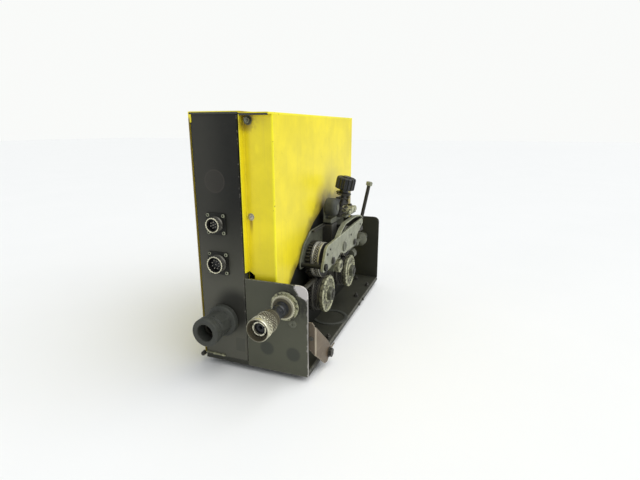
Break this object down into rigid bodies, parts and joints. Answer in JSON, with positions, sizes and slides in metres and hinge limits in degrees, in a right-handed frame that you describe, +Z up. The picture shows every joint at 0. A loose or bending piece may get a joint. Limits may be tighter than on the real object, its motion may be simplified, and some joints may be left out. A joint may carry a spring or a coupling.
{
  "type": "wire feeder",
  "caption": "Welding wire feed unit: tall two-compartment steel case on a long tray, with a geared four-roll drive, spring-loaded pressure arm, wire guides and panel connectors.",
  "frame": {"origin": "centre of the bottom of the bounding box, on the surface that the feet stand on", "axes": "+X to the right as seen from the connector end, +Y to the back along the wire line, +Z up"},
  "size_m": [0.2048, 0.571, 0.4097],
  "materials": {
    "olive_paint": "dark olive-grey paint, scuffed through to bare metal at the corners",
    "black_paint": "satin black paint with grey dust",
    "yellow_paint": "semi-gloss yellow enamel, chipped along folds and stained by grease",
    "plain_steel": "turned steel, dull",
    "dark_steel": "oiled dark steel",
    "worn_grey_paint": "grey-green paint over cast aluminium, rubbed and oily",
    "cream_metal": "aged cream coating with dark spots",
    "circuit_board": "solder-masked board",
    "brass": "dull brass",
    "black_plastic": "moulded black plastic",
    "nickel": "worn nickel plating",
    "rubber": "black rubber with grey bloom",
    "rusty_steel": "brown weathered steel"
  },
  "bodies": {
    "case": {"base_tray": "olive_paint", "front_plate": "olive_paint", "rear_plate": "black_paint", "front_panel": "black_paint", "rear_panel": "black_paint", "drive_plate": "black_paint", "left_cover": "yellow_paint", "right_housing": "yellow_paint", "partition": "plain_steel", "hinge_pin": "plain_steel", "drive_motor": "dark_steel", "stud_bracket": "dark_steel", "bracket_bolt": "dark_steel", "gearbox": "worn_grey_paint", "inlet_guide": "worn_grey_paint", "outlet_washer": "cream_metal", "middle_guide": "cream_metal", "control_board": "circuit_board", "gas_valve": "brass", "weld_contact": "brass", "outlet_guide": "brass", "cable_gland": "black_plastic", "upper_socket_insert": "black_plastic", "lower_socket_insert": "black_plastic", "coupling_insert": "black_plastic", "upper_socket_shell": "nickel", "lower_socket_shell": "nickel", "outlet_nut": "nickel", "front_left_foot": "rubber", "front_right_foot": "rubber", "rear_left_foot": "rubber", "rear_right_foot": "rubber", "weld_socket": "rubber", "outlet_neck": "rubber", "side_bracket": "rusty_steel"},
    "coupling": {"coupling_ring": "nickel"},
    "drive": {"drive_shaft": "plain_steel", "drive_gear": "dark_steel"},
    "front_lower": {"front_lower_shaft": "plain_steel", "front_lower_gear": "dark_steel", "front_lower_roll": "plain_steel", "front_roll_cap": "cream_metal"},
    "rear_lower": {"rear_lower_shaft": "plain_steel", "rear_lower_gear": "dark_steel", "rear_lower_roll": "plain_steel", "rear_roll_cap": "cream_metal"},
    "arm": {"pressure_arm": "worn_grey_paint", "pressure_bridge": "dark_steel", "clamp_block": "cream_metal", "tension_stud": "plain_steel", "tension_spring": "dark_steel", "front_upper_axle": "plain_steel", "rear_upper_axle": "plain_steel"},
    "front_upper": {"front_upper_gear": "dark_steel", "front_upper_roll": "plain_steel"},
    "rear_upper": {"rear_upper_gear": "dark_steel", "rear_upper_roll": "plain_steel"},
    "roller": {"lever_roller": "rubber"},
    "knob": {"tension_knob": "black_plastic"},
    "swing_stud": {"rear_stud": "plain_steel"}
  },
  "joints": [
    {"name": "drive_spin", "type": "hinge", "parent": "case", "child": "drive", "pos_m": [0.03845, 0.0195, 0.093], "axis": [1, 0, 0], "continuous": true},
    {"name": "front_lower_spin", "type": "hinge", "parent": "case", "child": "front_lower", "pos_m": [0.04945, -0.0505, 0.093], "axis": [1, 0, 0], "continuous": true},
    {"name": "rear_lower_spin", "type": "hinge", "parent": "case", "child": "rear_lower", "pos_m": [0.04945, 0.0895, 0.093], "axis": [1, 0, 0], "continuous": true},
    {"name": "arm_lift", "type": "hinge", "parent": "case", "child": "arm", "pos_m": [0.05145, -0.0925, 0.157], "axis": [1, 0, 0], "range_deg": [0, 55]},
    {"name": "front_upper_spin", "type": "hinge", "parent": "arm", "child": "front_upper", "pos_m": [0.04745, -0.0505, 0.157], "axis": [1, 0, 0], "continuous": true},
    {"name": "rear_upper_spin", "type": "hinge", "parent": "arm", "child": "rear_upper", "pos_m": [0.04745, 0.0895, 0.157], "axis": [1, 0, 0], "continuous": true},
    {"name": "roller_spin", "type": "hinge", "parent": "arm", "child": "roller", "pos_m": [0.04845, 0.0215, 0.24], "axis": [1, 0, 0], "continuous": true},
    {"name": "knob_turn", "type": "hinge", "parent": "arm", "child": "knob", "pos_m": [0.05145, 0.0555, 0.2195], "axis": [0.1994, 0, 0.9799], "continuous": true},
    {"name": "stud_swing", "type": "hinge", "parent": "case", "child": "swing_stud", "pos_m": [0.06295, 0.1695, 0.168], "axis": [0, 1, 0], "range_deg": [-11.5, 60]},
    {"name": "coupling_turn", "type": "hinge", "parent": "case", "child": "coupling", "pos_m": [0.04745, -0.2665, 0.125], "axis": [0, -1, 0], "continuous": true}
  ],
  "couplings": [
    {"joint": "front_lower_spin", "follows": "drive_spin", "ratio": -1.1875},
    {"joint": "rear_lower_spin", "follows": "drive_spin", "ratio": -1.1875},
    {"joint": "front_upper_spin", "follows": "drive_spin", "ratio": 1.1875},
    {"joint": "rear_upper_spin", "follows": "drive_spin", "ratio": 1.1875}
  ]
}
